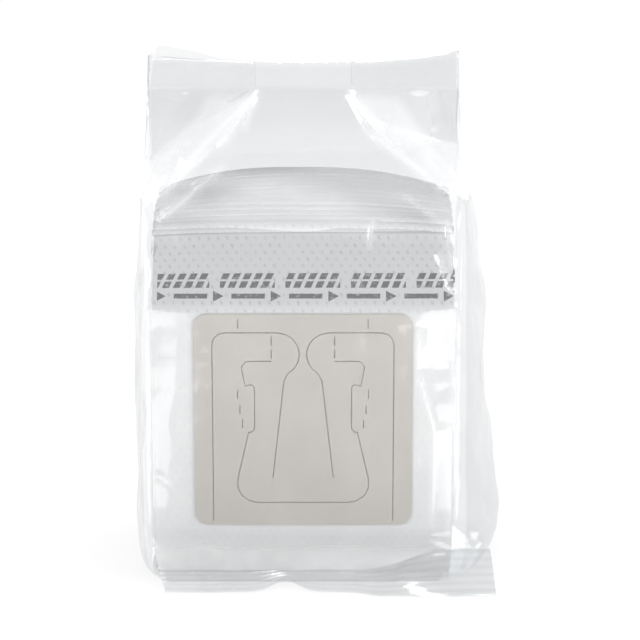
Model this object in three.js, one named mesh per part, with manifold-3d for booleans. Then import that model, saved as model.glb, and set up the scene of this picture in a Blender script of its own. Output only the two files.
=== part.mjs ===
// A clear retail pack of fifty drip coffee bags.
// The film bag is a side-gusset tube of clear film: its roof folds shut like a gable, with the side
// gussets tucked between the front and back panels, and a flat seal fin closes it at each end.
// Inside stands a stack of flat, unfilled drip bags. Each is a pouch of white filter fabric, folded
// at the bottom and open at the top, with a die-cut paper ear card glued to its front and its back.
// Millimetres, +Z up, the printed front faces -Y, and the origin is the centre of the flat base.

import * as THREE from 'three';
import { mergeVertices } from 'three/addons/utils/BufferGeometryUtils.js';
import Module from 'manifold-3d';

const wasm = await Module();
wasm.setup();

// Filter pouch
const POUCH_WIDTH = 74;
const POUCH_HEIGHT = 90;
const FABRIC_PLY = 0.14;
const MOUTH_GAP = 0.16; // between the two plies, inside the pouch
const SIDE_WELD = 3; // width of the welded strip down each side
const FOLD_DEPTH = 1; // solid fabric at the bottom fold

// Ear card
const CARD_WIDTH = 54;
const CARD_HEIGHT = 54;
const CARD_THICKNESS = 0.22;
const CARD_CORNER = 3.2;
const CARD_RISE = 14.5; // from the pouch's fold to the card's lower edge
const CUT_WIDTH = 0.24; // kerf of the die lines

// Die lines of the left half, measured from the middle of the card's lower edge. Two ears hang
// from the middle of the card: each has a round head, a straight arm and a locking tab.
const STRIP = 4.6; // frame that stays glued, at the sides and the top
const EAR_CORNER = 3;
const HEAD_RADIUS = 5.5;
const HEAD_X = 6.35;
const ARM_TOP_X = 4.7;
const ARM_FOOT_X = 7.5;
const ARM_FOOT = 12.4;
const FOLD_X = 7.8;
const NECK_DROP = 7.2; // from the upper die line to the neck's
const NECK_X = 15.2;
const TAB_OUTER_X = 16.2;
const TAB_INNER_X = 12;
const TAB_TOP = 36.3;
const TAB_FOOT = 24.1;
const YOKE_X = 16.4;
const YOKE_RADIUS = 5;
const YOKE_FOOT = 5.8;
const PERFORATION = 2.2; // length of a dash in a fold line

// Stack
const BAG_COUNT = 50;
const BAG_GAP = 0.3; // clearance between pieces that lie on each other
const FRONT_MOUTH_SLACK = 2.2; // from the front pouch's mouth forward to the roof panel
const REAR_MOUTH_SLACK = 3.2;
const FOOT_PINCH = 0.82; // share of its depth that each pouch keeps at its fold
const KNEE = 1.5; // from a card's edge to where the pouch starts to lean
const SQUARING = 0.6; // how far the pouches stand out of line to the sides
const MOST_LIFT = 1.2; // how far they stand out of line in height
const REAR_LIFT = 7; // how far the last pouch stands above the first

// Film bag
const FILM = 0.3; // wall
const FACE_SLACK = 1.6; // film to the outermost cards
const SIDE_SLACK = 2.8; // film to the pouches' side edges
const BASE_GAP = 0.35; // film floor to the pouches' folds
const EDGE_BEVEL = 3; // rounding of the upright edges
const FOOT_RADIUS = 8; // height over which the film curves in to its base
const FOOT_TUCK_FRONT = 2.1; // how far the film's base is drawn in there
const FOOT_TUCK_REAR = 5;
const FOOT_TUCK_SIDE = 4;
const GUSSET_PUFF = 11; // how far the slack right gusset stands out
const GUSSET_BELLY = 0.44; // share of that puff which the right gusset has only low down
const GUSSET_DENT = 1.6; // depth of the dents in it
const TIGHT_PUFF = 2.7; // how far the tight left gusset stands out
const TIGHT_DENT = 0.9;
const PUFF_HEIGHT = 17; // height of the widest place of that puff
const ROOF_START = 2; // height of the front shoulder above the cards
const REAR_SHOULDER_STEP = 5; // height of the rear shoulder above the last card
const HEADROOM = 2.4; // height of the side shoulders above the highest pouch
const GABLE_RISE = 20; // from the side shoulders to the ridge
const RIGHT_FOLD_STEP = 4.5; // the right gusset folds in that much higher at the rear than the left
const FRONT_FOLD_DROP = 7; // both fold in that much lower at the front than at the rear
const RIDGE_BACK = 2.5; // how far the ridge lies behind the middle
const FIN_HEIGHT = 6.2;
const FIN_CORNER_LIFT = 2.6;
const FIN_CURL = 3.6; // how far the corners of the top fin curl back
const FOOT_FIN_REACH = 6.2;
const FOOT_FIN_SHIFT = 6; // the lower fin lies askew, towards the slack side
const VENT_RADIUS = 1.5;
const GUSSET_STEPS = 10; // facets across a gusset
const WING_LAP = 3; // how far a pressed wing's corner reaches down into the gusset's edge

// Derived places
const PLAIN_BAG_THICKNESS = 2 * FABRIC_PLY + 2 * CARD_THICKNESS;
const BAG_PITCH = PLAIN_BAG_THICKNESS + BAG_GAP;
const OPEN_POUCH_THICKNESS = 2 * FABRIC_PLY + MOUTH_GAP;
const END_BAG_PITCH = OPEN_POUCH_THICKNESS + 2 * CARD_THICKNESS + 3 * BAG_GAP;
const STACK_DEPTH = (BAG_COUNT - 2) * BAG_PITCH + 2 * END_BAG_PITCH;
const POUCH_FOOT = FILM + BASE_GAP;
const CARD_FOOT = POUCH_FOOT + CARD_RISE;
const CARD_TOP = CARD_FOOT + CARD_HEIGHT;
const POUCH_TOP = POUCH_FOOT + POUCH_HEIGHT;
const HALF_WIDTH = POUCH_WIDTH / 2 + SIDE_SLACK + FILM;
const HALF_DEPTH = STACK_DEPTH / 2 + FACE_SLACK + FILM;
const FRONT_SHOULDER = CARD_TOP + ROOF_START;
const REAR_SHOULDER = FRONT_SHOULDER + REAR_LIFT + REAR_SHOULDER_STEP;
const SIDE_SHOULDER = POUCH_TOP + REAR_LIFT + MOST_LIFT + HEADROOM;
const RIDGE = SIDE_SHOULDER + GABLE_RISE;
const FIN_THICKNESS = 4 * FILM;
const WING_THICKNESS = 2 * FILM;
const APEX_X = HALF_WIDTH - HALF_DEPTH; // where a gusset's crease meets the seal

const film = new THREE.MeshStandardMaterial({
  color: 0xe8ecee, roughness: 0.12, metalness: 0, transparent: true, opacity: 0.3,
});
const fabric = new THREE.MeshStandardMaterial({ color: 0xf1f1f0, roughness: 0.95, metalness: 0 });
const card = new THREE.MeshStandardMaterial({ color: 0xcdc9c3, roughness: 0.85, metalness: 0 });

const lerp = THREE.MathUtils.lerp;
const clamp = THREE.MathUtils.clamp;
const share = (value, low, high) => clamp((value - low) / (high - low), 0, 1);

// Solids

// A closed three.js geometry as a solid that can be joined and cut. Its faces are turned outward.
function toSolid(geometry) {
  const bare = geometry.clone();
  bare.deleteAttribute('normal');
  bare.deleteAttribute('uv');
  const merged = mergeVertices(bare, 1e-4);
  const vertProperties = new Float32Array(merged.attributes.position.array);
  const triVerts = new Uint32Array(merged.index.array);
  const solid = new wasm.Manifold(new wasm.Mesh({ numProp: 3, vertProperties, triVerts }));
  if (solid.volume() > 0) {
    return solid;
  }
  return new wasm.Manifold(new wasm.Mesh({ numProp: 3, vertProperties, triVerts: triVerts.reverse() }));
}

function toGeometry(solid) {
  const mesh = solid.getMesh();
  const geometry = new THREE.BufferGeometry();
  geometry.setAttribute('position', new THREE.BufferAttribute(new Float32Array(mesh.vertProperties), 3));
  geometry.setIndex(new THREE.BufferAttribute(new Uint32Array(mesh.triVerts), 1));
  geometry.computeVertexNormals();
  return geometry;
}

// Rings of equal length, each a list of points in order round the form, skinned and capped. Where a
// ring doesn't lie in X and Y, its points carry their place in the ring's plane as u and v.
function loft(rings) {
  const count = rings[0].length;
  const positions = rings.flat().flatMap((p) => [p.x, p.y, p.z]);
  const index = [];
  for (let r = 0; r + 1 < rings.length; r += 1) {
    for (let i = 0; i < count; i += 1) {
      const next = (i + 1) % count;
      const a = r * count + i;
      const b = r * count + next;
      index.push(a, b, b + count, a, b + count, a + count);
    }
  }
  const lastRing = (rings.length - 1) * count;
  for (const [start, ring] of [[0, rings[0]], [lastRing, rings.at(-1)]]) {
    const outline = ring.map((p) => new THREE.Vector2(p.u ?? p.x, p.v ?? p.y));
    const backwards = THREE.ShapeUtils.isClockWise(outline) === (start > 0);
    for (const [a, b, c] of THREE.ShapeUtils.triangulateShape(outline, [])) {
      index.push(start + a, start + (backwards ? c : b), start + (backwards ? b : c));
    }
  }
  const geometry = new THREE.BufferGeometry();
  geometry.setAttribute('position', new THREE.Float32BufferAttribute(positions, 3));
  geometry.setIndex(index);
  return geometry;
}

// A flat outline in X and Z, given thickness from yFront back to yRear.
function plate(shape, yFront, yRear, curveSegments) {
  const geometry = new THREE.ExtrudeGeometry(shape, {
    depth: yRear - yFront, bevelEnabled: false, curveSegments,
  });
  geometry.rotateX(Math.PI / 2);
  geometry.translate(0, yRear, 0);
  return geometry;
}

// A profile in Y and Z, drawn out along X and centred on it.
function drawnAcross(points, width) {
  const shape = new THREE.Shape(points.map(([y, z]) => new THREE.Vector2(y, z)));
  const geometry = new THREE.ExtrudeGeometry(shape, { depth: width, bevelEnabled: false });
  geometry.rotateY(Math.PI / 2);
  geometry.rotateX(Math.PI / 2);
  geometry.translate(-width / 2, 0, 0);
  return geometry;
}

// Film bag's outer faces

// How far in the film has curved at a height, from 0 at the top of the curve to 1 at the base.
const footCurve = (z) => 1 - Math.sqrt(1 - (1 - share(z, 0, FOOT_RADIUS)) ** 2);

// The front panel's outer face, from the base up to the ridge.
function frontY(z) {
  const foot = FOOT_TUCK_FRONT * footCurve(z);
  const roof = share(z, FRONT_SHOULDER, RIDGE);
  return lerp(-HALF_DEPTH + foot, RIDGE_BACK - FIN_THICKNESS / 2, roof);
}

function rearY(z) {
  const foot = FOOT_TUCK_REAR * footCurve(z);
  const roof = share(z, REAR_SHOULDER, RIDGE);
  return lerp(HALF_DEPTH - foot, RIDGE_BACK + FIN_THICKNESS / 2, roof);
}

// How far out a gusset starts, from the base to where its fold meets the ridge. Its fold runs up from
// the edge lower at the front than at the rear. The slack right one folds in late and steeply there.
function sideX(z, side, rearward) {
  const foot = FOOT_TUCK_SIDE * footCurve(z);
  const front = 1 - (1 - share(z, SIDE_SHOULDER - FRONT_FOLD_DROP, RIDGE)) ** 1.6;
  const rear = side > 0
    ? 1 - (1 - share(z, SIDE_SHOULDER + RIGHT_FOLD_STEP, RIDGE)) ** 2.6
    : share(z, SIDE_SHOULDER, RIDGE) ** 1.1;
  return lerp(HALF_WIDTH - foot, APEX_X, lerp(front, rear, rearward));
}

// Ear card

function roundedSquare(width, height, radius) {
  const half = width / 2;
  const shape = new THREE.Shape();
  shape.moveTo(-half + radius, 0);
  shape.lineTo(half - radius, 0);
  shape.absarc(half - radius, radius, radius, -Math.PI / 2, 0);
  shape.lineTo(half, height - radius);
  shape.absarc(half - radius, height - radius, radius, 0, Math.PI / 2);
  shape.lineTo(-half + radius, height);
  shape.absarc(-half + radius, height - radius, radius, Math.PI / 2, Math.PI);
  shape.lineTo(-half, radius);
  shape.absarc(-half + radius, radius, radius, Math.PI, Math.PI * 1.5);
  return shape;
}

// A die line: the path as a thin closed shape, one kerf wide.
function kerf(path) {
  const half = CUT_WIDTH / 2;
  const side = (sign) => path.map((p, i) => {
    const before = path[Math.max(i - 1, 0)];
    const after = path[Math.min(i + 1, path.length - 1)];
    const into = p.clone().sub(before).normalize();
    const out = after.clone().sub(p).normalize();
    const along = into.add(out).normalize();
    return new THREE.Vector2(p.x - sign * along.y * half, p.y + sign * along.x * half);
  });
  return new THREE.Shape([...side(1), ...side(-1).reverse()]);
}

// Points of an arc, from one angle to the other, in degrees.
function arc(x, z, radius, from, to, steps) {
  return Array.from({ length: steps + 1 }, (_, i) => {
    const angle = THREE.MathUtils.degToRad(lerp(from, to, i / steps));
    return new THREE.Vector2(x + radius * Math.cos(angle), z + radius * Math.sin(angle));
  });
}

// The cut round an ear's outside: up the strip, over its head and down the inside of its arm.
function earLine(mirror) {
  const side = CARD_WIDTH / 2 - STRIP;
  const top = CARD_HEIGHT - STRIP;
  const path = [
    new THREE.Vector2(-side, 1.2),
    ...arc(-side + EAR_CORNER, top - EAR_CORNER, EAR_CORNER, 180, 90, 3),
    ...arc(-HEAD_X, top - HEAD_RADIUS, HEAD_RADIUS, 90, -62, 7),
    new THREE.Vector2(-ARM_TOP_X, top - 2 * HEAD_RADIUS - 1.2),
    new THREE.Vector2(-ARM_FOOT_X, ARM_FOOT),
  ];
  return path.map((p) => new THREE.Vector2(mirror * p.x, p.y));
}

// The cut round the yoke that the ears hang from: neck, locking tab, round corner and lower edge.
function yokeLine() {
  const neck = CARD_HEIGHT - STRIP - NECK_DROP;
  const half = [
    new THREE.Vector2(-FOLD_X, neck),
    new THREE.Vector2(-NECK_X + 1.2, neck),
    new THREE.Vector2(-NECK_X, neck - 1.4),
    new THREE.Vector2(-TAB_OUTER_X + 1.9, TAB_TOP - 0.5),
    new THREE.Vector2(-TAB_INNER_X - 0.7, TAB_TOP),
    new THREE.Vector2(-TAB_INNER_X, TAB_TOP - 0.8),
    new THREE.Vector2(-TAB_INNER_X, TAB_FOOT + 0.8),
    new THREE.Vector2(-TAB_INNER_X - 0.7, TAB_FOOT),
    new THREE.Vector2(-TAB_INNER_X - 1.5, TAB_FOOT - 0.1),
    ...arc(-YOKE_X + YOKE_RADIUS, YOKE_FOOT + YOKE_RADIUS, YOKE_RADIUS, 168, 270, 4),
  ];
  const other = half.map((p) => new THREE.Vector2(-p.x, p.y)).reverse();
  return [...half, ...other];
}

// The perforated folds, each a row of short cuts.
function foldDashes(mirror) {
  const top = CARD_HEIGHT - STRIP;
  const dashes = [
    [FOLD_X, top - 1, top - 1 - PERFORATION],
    [FOLD_X, top - 2 - PERFORATION, top - 2 - 2 * PERFORATION],
    [NECK_X + 0.8, CARD_HEIGHT - 1.2, CARD_HEIGHT - 1.2 - PERFORATION],
    [TAB_OUTER_X, TAB_TOP - 1.4, TAB_TOP - 1.4 - PERFORATION],
    [TAB_OUTER_X - 0.6, TAB_TOP - 5.4, TAB_TOP - 5.4 - PERFORATION],
    [TAB_OUTER_X - 1.2, TAB_FOOT + 1 + PERFORATION, TAB_FOOT + 1],
  ];
  return dashes.map(([x, high, low]) => [
    new THREE.Vector2(mirror * -x, high),
    new THREE.Vector2(mirror * -x, low),
  ]);
}

// The whole card, standing on its lower edge, with its die lines cut right through.
function earCard(yMiddle, rise) {
  const front = yMiddle - CARD_THICKNESS / 2;
  const blank = roundedSquare(CARD_WIDTH, CARD_HEIGHT, CARD_CORNER);
  let solid = toSolid(plate(blank, front, front + CARD_THICKNESS, 3));
  const paths = [earLine(1), earLine(-1), yokeLine(), ...foldDashes(1), ...foldDashes(-1)];
  for (const path of paths) {
    solid = solid.subtract(toSolid(plate(kerf(path), front - 1, front + CARD_THICKNESS + 1, 1)));
  }
  const geometry = toGeometry(solid);
  geometry.translate(0, 0, CARD_FOOT + rise);
  return geometry;
}

// Drip bags

// Small, fixed differences between the pouches, as in any stack that was put in by hand.
const outOfLineX = (bag) => SQUARING * Math.sin(bag * 2.4);
const outOfLineZ = (bag) => MOST_LIFT * (0.55 + 0.45 * Math.sin(bag * 1.7 + 0.6));

// The stack has slipped a little: each pouch stands higher than the one before it.
const slip = (depth) => REAR_LIFT * (depth / STACK_DEPTH + 0.5);

// The share of its depth that a pouch keeps at a height: all of it behind the cards, and less towards
// the fold and the mouth, where the cards no longer hold the pouches apart.
function keptDepth(depth, z) {
  const frontMouth = POUCH_TOP + MOST_LIFT;
  const leanFront = (-frontY(frontMouth) - FRONT_MOUTH_SLACK) / (STACK_DEPTH / 2);
  const leanRear = (rearY(frontMouth + REAR_LIFT) - REAR_MOUTH_SLACK) / (STACK_DEPTH / 2);
  const lean = lerp(leanFront, leanRear, depth / STACK_DEPTH + 0.5);
  const above = share(z - slip(depth), CARD_TOP + KNEE, POUCH_TOP);
  const below = share(z - slip(depth), CARD_FOOT - KNEE, POUCH_FOOT);
  const leaned = above < 0.5 ? 0.92 * above : 0.46 + 1.08 * (above - 0.5);
  return lerp(1, lean, leaned) * lerp(1, FOOT_PINCH, below);
}

// How the middle of a pouch that lies at depth runs, from its fold up to its mouth.
function pouchSpine(depth, lift) {
  const heights = [
    POUCH_FOOT + lift, CARD_FOOT - KNEE, CARD_TOP + KNEE, lerp(CARD_TOP + KNEE, POUCH_TOP, 0.5),
    POUCH_TOP, POUCH_TOP + lift,
  ];
  const used = lift ? heights : heights.slice(0, -1);
  return used.map((height) => {
    const z = height + slip(depth);
    return [depth * keptDepth(depth, z), z];
  });
}

function thickened(spine, half) {
  const front = spine.map(([y, z]) => [y - half, z]);
  const rear = spine.map(([y, z]) => [y + half, z]).reverse();
  return [...front, ...rear];
}

// One drip bag as a single flat piece: both plies pressed together, with a card on each face.
function flatBag(bag, depth) {
  const half = FABRIC_PLY;
  const body = toSolid(drawnAcross(thickened(pouchSpine(depth, outOfLineZ(bag)), half), POUCH_WIDTH));
  const blank = roundedSquare(CARD_WIDTH, CARD_HEIGHT, CARD_CORNER);
  const cards = plate(blank, depth - half - CARD_THICKNESS, depth + half + CARD_THICKNESS, 1);
  cards.translate(0, 0, CARD_FOOT + slip(depth) + outOfLineZ(bag));
  const solid = body.add(toSolid(cards));
  const geometry = toGeometry(solid);
  geometry.translate(outOfLineX(bag), 0, 0);
  return geometry;
}

// The open pouch of the first and the last bag: two plies, joined at the fold and the side welds.
function openPouch(depth) {
  const spine = pouchSpine(depth, 0);
  const outer = toSolid(drawnAcross(thickened(spine, OPEN_POUCH_THICKNESS / 2), POUCH_WIDTH));
  const [foldY, foldZ] = spine[0];
  const [mouthY, mouthZ] = spine.at(-1);
  const room = [[foldY, foldZ + FOLD_DEPTH], ...spine.slice(1, -1), [mouthY, mouthZ + 1]];
  const inner = toSolid(drawnAcross(thickened(room, MOUTH_GAP / 2), POUCH_WIDTH - 2 * SIDE_WELD));
  return toGeometry(outer.subtract(inner));
}

// Film bag

// How a gusset stands out at a height, as a share of its most: belly is the part of it that is
// widest near the base and soon gone, and the rest reaches up to the shoulder.
function puff(z, belly) {
  const rise = Math.sin((Math.PI / 2) * share(z, -PUFF_HEIGHT, PUFF_HEIGHT));
  const fall = share(z, PUFF_HEIGHT, SIDE_SHOULDER);
  return rise * ((1 - belly) * (1 - fall ** 5) + belly * (1 - fall) ** 5);
}

// A wave of straight ramps between 1 and -1.
const zigzag = (turns) => (2 / Math.PI) * Math.asin(Math.sin(2 * Math.PI * turns));

// The dents of a gusset, from 1 out to 1 in: two zigzags that cross it at a slant.
function dent(y, z) {
  const rising = zigzag((z + 0.9 * y) / 31 + 0.2);
  const falling = zigzag((z - 1.3 * y) / 43 + 0.55);
  const fade = share(z, 0, FOOT_RADIUS + 2) * (1 - share(z, REAR_SHOULDER, SIDE_SHOULDER));
  return ((rising + falling) / 2) * fade;
}

// One level of the film's outside, or of its inside where inset is the wall.
function filmRing(z, level, inset = 0) {
  const edge = (side, rearward) => sideX(z, side, rearward) - inset;
  const front = frontY(z) + inset;
  const rear = rearY(z) - inset;
  const bevel = Math.min(EDGE_BEVEL, (rear - front) / 6, edge(1, 0) / 4);
  const panel = (y, rearward) => [0, 0.25, 0.5, 0.75, 1].map((s) => [
    lerp(bevel - edge(-1, rearward), edge(1, rearward) - bevel, s), y,
  ]);
  const gusset = (side, most, depth) => Array.from({ length: GUSSET_STEPS + 1 }, (_, i) => {
    const t = i / GUSSET_STEPS;
    const y = lerp(front + bevel, rear - bevel, t);
    const arch = (4 * t * (1 - t)) ** 0.7;
    return [side * (edge(side, t) + arch * (most + depth * dent(y, z))), y];
  });
  const points = [
    ...panel(front, 0),
    ...gusset(1, GUSSET_PUFF * puff(z, GUSSET_BELLY), GUSSET_DENT),
    ...panel(rear, 1).reverse(),
    ...gusset(-1, TIGHT_PUFF * puff(z, 0), TIGHT_DENT).reverse(),
  ];
  return points.map(([x, y]) => ({ x, y, z: level }));
}

// Heights that part a stretch into equal steps, without its upper end.
const stepped = (low, high, steps) => Array.from({ length: steps }, (_, i) => lerp(low, high, i / steps));

function filmBody(inset) {
  const heights = [
    0, FOOT_RADIUS * 0.1, FOOT_RADIUS * 0.27, FOOT_RADIUS * 0.55,
    ...stepped(FOOT_RADIUS, FRONT_SHOULDER, 10), ...stepped(FRONT_SHOULDER, REAR_SHOULDER, 2),
    ...stepped(REAR_SHOULDER, SIDE_SHOULDER - FRONT_FOLD_DROP, 2), SIDE_SHOULDER - FRONT_FOLD_DROP,
    ...[0, 0.22, 0.42, 0.6, 0.85].map((part) => lerp(SIDE_SHOULDER, RIDGE, part)),
  ];
  const rings = heights.map((z) => filmRing(z, Math.max(z, inset), inset));
  const ridge = inset ? lerp(SIDE_SHOULDER, RIDGE, 0.94) : RIDGE;
  rings.push(filmRing(ridge, ridge, inset));
  return toSolid(loft(rings));
}

// A gusset's outer triangle, pressed flat against a roof panel. Its plies run into the top fin, and
// its lower corner lies where the gusset starts to fold in.
function wing(side, panelY, inward, foot) {
  const lap = 1.8 * EDGE_BEVEL;
  const corners = [
    [APEX_X - lap, RIDGE], [HALF_WIDTH, RIDGE], [HALF_WIDTH, foot + 5],
    [HALF_WIDTH - 1.1 * EDGE_BEVEL, foot], [HALF_WIDTH - lap, foot],
  ];
  const outline = (offset) => corners.map(([x, z]) => ({
    x: side * x, y: panelY(z) + offset, z, u: side * x, v: z,
  }));
  const faces = [outline(0), outline(inward * WING_THICKNESS)];
  return toSolid(loft(faces));
}

// The flat seal at the top. Its corners lift and curl back.
function topFin() {
  const steps = 12;
  const rings = Array.from({ length: steps + 1 }, (_, i) => {
    const x = lerp(-HALF_WIDTH, HALF_WIDTH, i / steps);
    const out = (x / HALF_WIDTH) ** 2;
    const top = RIDGE + FIN_HEIGHT + FIN_CORNER_LIFT * out;
    const curl = FIN_CURL * out;
    const half = FIN_THICKNESS / 2;
    const corners = [
      [RIDGE_BACK - half, RIDGE - 1.5], [RIDGE_BACK + half, RIDGE - 1.5],
      [RIDGE_BACK + half + curl * 0.4, lerp(RIDGE, top, 0.5)], [RIDGE_BACK + half + curl, top],
      [RIDGE_BACK - half + curl, top], [RIDGE_BACK - half + curl * 0.4, lerp(RIDGE, top, 0.5)],
    ];
    return corners.map(([y, z]) => ({ x, y, z, u: y, v: z }));
  });
  return toSolid(loft(rings));
}

// The lower seal, folded forward under the front panel. It lies askew, and buckles near its middle.
function footFin() {
  const steps = 14;
  const rings = Array.from({ length: steps + 1 }, (_, i) => {
    const x = lerp(-HALF_WIDTH, HALF_WIDTH, i / steps) + FOOT_FIN_SHIFT;
    const buckle = 3.6 * Math.exp(-(((x + 5) / 6) ** 2));
    const tip = frontY(FOOT_RADIUS) - FOOT_FIN_REACH + buckle - 3 * share(x, 4, 20);
    const rootY = frontY(2.5) + 1.6;
    const half = FIN_THICKNESS / 2;
    const corners = [
      [rootY, 2.6], [lerp(rootY, tip, 0.5), 0.5], [tip, 0.1], [tip, 0.1 + 2 * half],
      [lerp(rootY, tip, 0.5), 0.5 + 2.2 * half + 0.12 * buckle], [rootY, 4.2],
    ];
    return corners.map(([y, z]) => ({ x, y, z, u: y, v: z }));
  });
  return toSolid(loft(rings));
}

function filmBag() {
  let outside = filmBody(0).add(topFin()).add(footFin());
  for (const side of [-1, 1]) {
    outside = outside.add(wing(side, frontY, 1, SIDE_SHOULDER - FRONT_FOLD_DROP - WING_LAP))
      .add(wing(side, rearY, -1, SIDE_SHOULDER - WING_LAP));
  }
  const vent = new THREE.CylinderGeometry(VENT_RADIUS, VENT_RADIUS, HALF_DEPTH, 12);
  vent.translate(HALF_WIDTH * 0.6, HALF_DEPTH, SIDE_SHOULDER * 0.5);
  return toGeometry(outside.subtract(filmBody(FILM)).subtract(toSolid(vent)));
}

// Assembly

const pack = new THREE.Group();

function addPiece(name, geometry, material) {
  const mesh = new THREE.Mesh(geometry, material);
  mesh.name = name;
  pack.add(mesh);
}

// The bag that shows best, at the front of the stack, and the last one, at its back.
function addOpenBag(number, depth) {
  const label = String(number).padStart(2, '0');
  const cardOffset = OPEN_POUCH_THICKNESS / 2 + BAG_GAP + CARD_THICKNESS / 2;
  addPiece(`pouch_${label}`, openPouch(depth), fabric);
  addPiece(`ear_card_front_${label}`, earCard(depth - cardOffset, slip(depth)), card);
  addPiece(`ear_card_rear_${label}`, earCard(depth + cardOffset, slip(depth)), card);
}

addPiece('film_bag', filmBag(), film);
addOpenBag(1, (-STACK_DEPTH + END_BAG_PITCH) / 2);
for (let bag = 2; bag < BAG_COUNT; bag += 1) {
  const depth = -STACK_DEPTH / 2 + END_BAG_PITCH + (bag - 1.5) * BAG_PITCH;
  addPiece(`drip_bag_${String(bag).padStart(2, '0')}`, flatBag(bag, depth), fabric);
}
addOpenBag(BAG_COUNT, (STACK_DEPTH - END_BAG_PITCH) / 2);

export default pack;
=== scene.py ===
"""A clear side-gusset film bag that holds fifty flat drip coffee bags.

All shapes are worked out in millimetres as numpy arrays and written to the meshes in metres.
X runs across the front, Y towards the back, Z up, and the pack stands on Z = 0.
"""
import math

import bmesh
import bpy
import numpy as np
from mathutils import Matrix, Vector


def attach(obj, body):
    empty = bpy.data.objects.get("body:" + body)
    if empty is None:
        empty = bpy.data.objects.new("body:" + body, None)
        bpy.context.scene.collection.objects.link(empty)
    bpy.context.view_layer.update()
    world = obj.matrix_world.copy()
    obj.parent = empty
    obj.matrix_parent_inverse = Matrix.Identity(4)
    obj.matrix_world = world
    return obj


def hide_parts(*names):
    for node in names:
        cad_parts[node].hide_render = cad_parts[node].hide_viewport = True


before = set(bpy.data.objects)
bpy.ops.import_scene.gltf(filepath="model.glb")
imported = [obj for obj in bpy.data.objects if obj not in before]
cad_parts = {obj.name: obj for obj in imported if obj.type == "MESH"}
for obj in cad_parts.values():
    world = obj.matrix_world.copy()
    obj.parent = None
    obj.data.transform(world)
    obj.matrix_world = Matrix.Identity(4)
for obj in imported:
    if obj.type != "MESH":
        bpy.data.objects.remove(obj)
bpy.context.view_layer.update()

MM = 0.001

# Drip bags, as in the solids
POUCH_W, POUCH_H = 74.0, 90.0
PLY = 0.14
CARD_W = CARD_H = 54.0
CARD_T = 0.22
CARD_R = 3.2
CARD_RISE = 14.5  # from a pouch's fold to its card's lower edge
CARD_EDGE = CARD_RISE + CARD_H  # and to the upper edge
KNEE = 1.0  # from a card's edge to where the pouch starts to lean
BAGS = 50
GAP = 0.3
FOOT = 0.65
CARD_FOOT = FOOT + CARD_RISE
POUCH_TOP = FOOT + POUCH_H
PITCH = 2 * PLY + 2 * CARD_T + GAP
END_T = 2 * PLY + 0.16
END_PITCH = END_T + 2 * CARD_T + 3 * GAP
DEPTH = (BAGS - 2) * PITCH + 2 * END_PITCH
REAR_LIFT = 7.0
MOST_LIFT = 1.2
SQUARING = 0.6
FOOT_PINCH = 0.82

# Film bag, as in the solid
BODY_HALF = 38.6
FLAT_HALF = 40.1
FACE_Y = 28.0
FRONT_SHOULDER = FOOT + CARD_EDGE + 2.0
REAR_SHOULDER = FRONT_SHOULDER + REAR_LIFT + 5.0
SIDE_SHOULDER = POUCH_TOP + REAR_LIFT + MOST_LIFT + 2.4
RIDGE = SIDE_SHOULDER + 20.0
RIDGE_Y = 2.5
APEX = 11.9  # half width between the gussets' folds at the ridge
FRONT_FOLD = SIDE_SHOULDER - 7.0
RIGHT_REAR_FOLD = SIDE_SHOULDER + 4.5
FOOT_RADIUS = 8.0
FOOT_TUCK_FRONT, FOOT_TUCK_REAR, FOOT_TUCK_SIDE = 2.1, 5.0, 4.0
PUFF_HEIGHT = 17.0
PUFFS = {1: (11.0, 0.44, 1.6), -1: (2.7, 0.0, 0.9)}  # most, belly share and dents, right and left
FIN_HEIGHT = 6.2

# Film bag, in the scene alone
FILM_BASE, FILM_TOP = 0.25, 127.5
BASE_MIDDLE_Y = -2.0
PLY_STEP = 0.22  # from a panel to the wing that lies on it
FRONT_COLS, WING_COLS, END_COLS, REAR_COLS = 112, 18, 46, 84
EDGE_ROUNDS = 26

# Folds in the front panel: from, to (x and height), how proud and how wide
CREASES = (
    ((28.7, 66), (28.2, 55.8), 0.5, 0.8),
    ((28.2, 56), (32.4, 40), 0.6, 0.8),
    ((32.4, 41), (32.0, 14), 0.5, 0.8),
    ((31.2, 11.9), (44.5, 5.6), 0.9, 0.7),
    ((-36.5, 29), (-32.4, 26), 0.5, 0.8),
    ((17.5, 92), (16.2, 84), 0.5, 0.5),
    ((-36, 14), (-20, 8), 0.2, 1.6),
    ((33, 84), (37, 74), 0.7, 0.7),
    ((35.5, 92), (36.5, 80), 0.7, 0.7),
    ((-11.5, 121), (-21, 107), 0.7, 0.9),
    ((-11.5, 121), (-15, 111), 0.6, 0.6),
    ((-12, 120), (-30, 103), 0.6, 0.8),
    ((-24, 106), (-37, 95), 0.6, 0.7),
    ((-19, 104), (-36, 90), 0.5, 0.8),
    ((11.2, 121), (16, 112), 0.8, 0.6),
    ((11.2, 121), (20, 111), 0.7, 0.7),
    ((15, 112), (33, 99), 0.8, 0.7),
    ((33, 99), (38, 96), 0.7, 0.6),
    ((22, 112), (38, 107), 0.5, 0.5),
    ((24, 97), (35, 90), 0.5, 0.6),
)

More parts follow.
